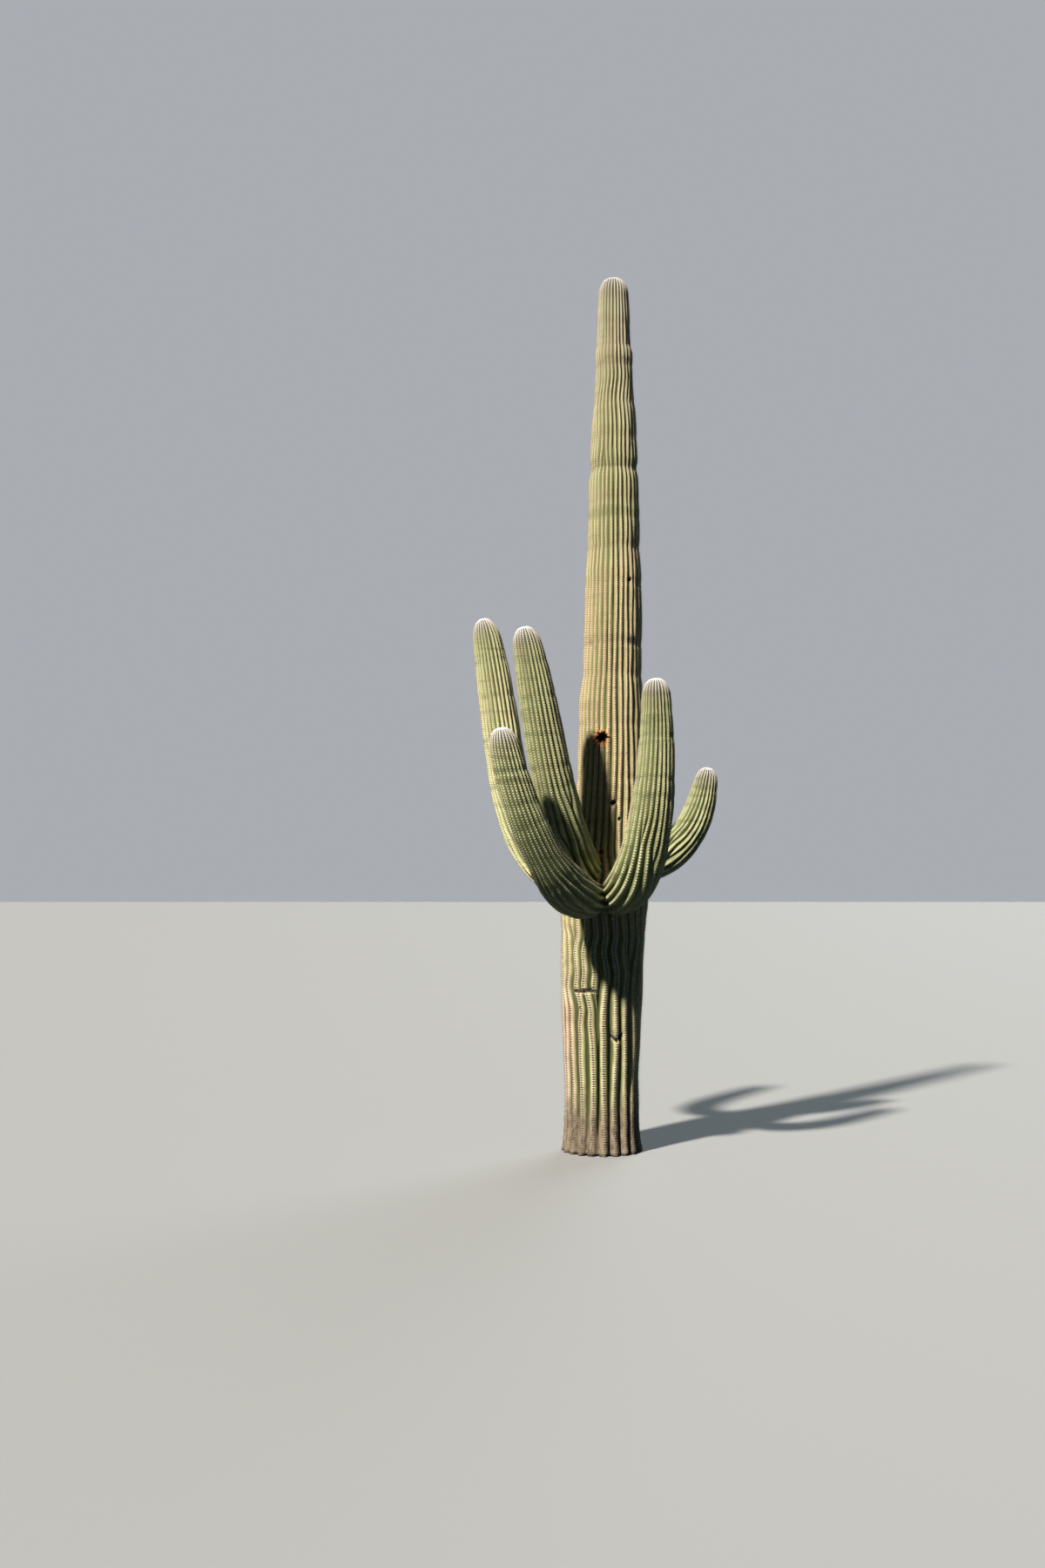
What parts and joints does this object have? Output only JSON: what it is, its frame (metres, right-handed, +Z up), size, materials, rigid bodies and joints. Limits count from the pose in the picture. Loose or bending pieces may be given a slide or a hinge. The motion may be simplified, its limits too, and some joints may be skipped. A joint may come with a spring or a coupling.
{
  "type": "saguaro cactus",
  "caption": "Tall ribbed columnar desert cactus with upturned side arms, standing on a flat cut at ground level, with an old bird's nest hole in its trunk.",
  "frame": {"origin": "on the flat cut under the trunk at ground level, near the trunk's middle line", "axes": "+Z up along the trunk, -Y towards the side with the nest hole and the two front arms, +X to the right as seen from that side"},
  "size_m": [1.807, 1.6305, 6.32],
  "materials": {
    "trunk_skin": "matte",
    "arm_skin": "matte",
    "spines": "matte"
  },
  "bodies": {
    "root": {"trunk": "trunk_skin", "arm_back_left_elbow": "arm_skin", "arm_back_left_column": "arm_skin", "arm_mid_left_elbow": "arm_skin", "arm_mid_left_column": "arm_skin", "arm_front_left_elbow": "arm_skin", "arm_front_left_column": "arm_skin", "arm_front_right_elbow": "arm_skin", "arm_front_right_column": "arm_skin", "arm_back_right_elbow": "arm_skin", "arm_back_right_column": "arm_skin"}
  },
  "joints": []
}
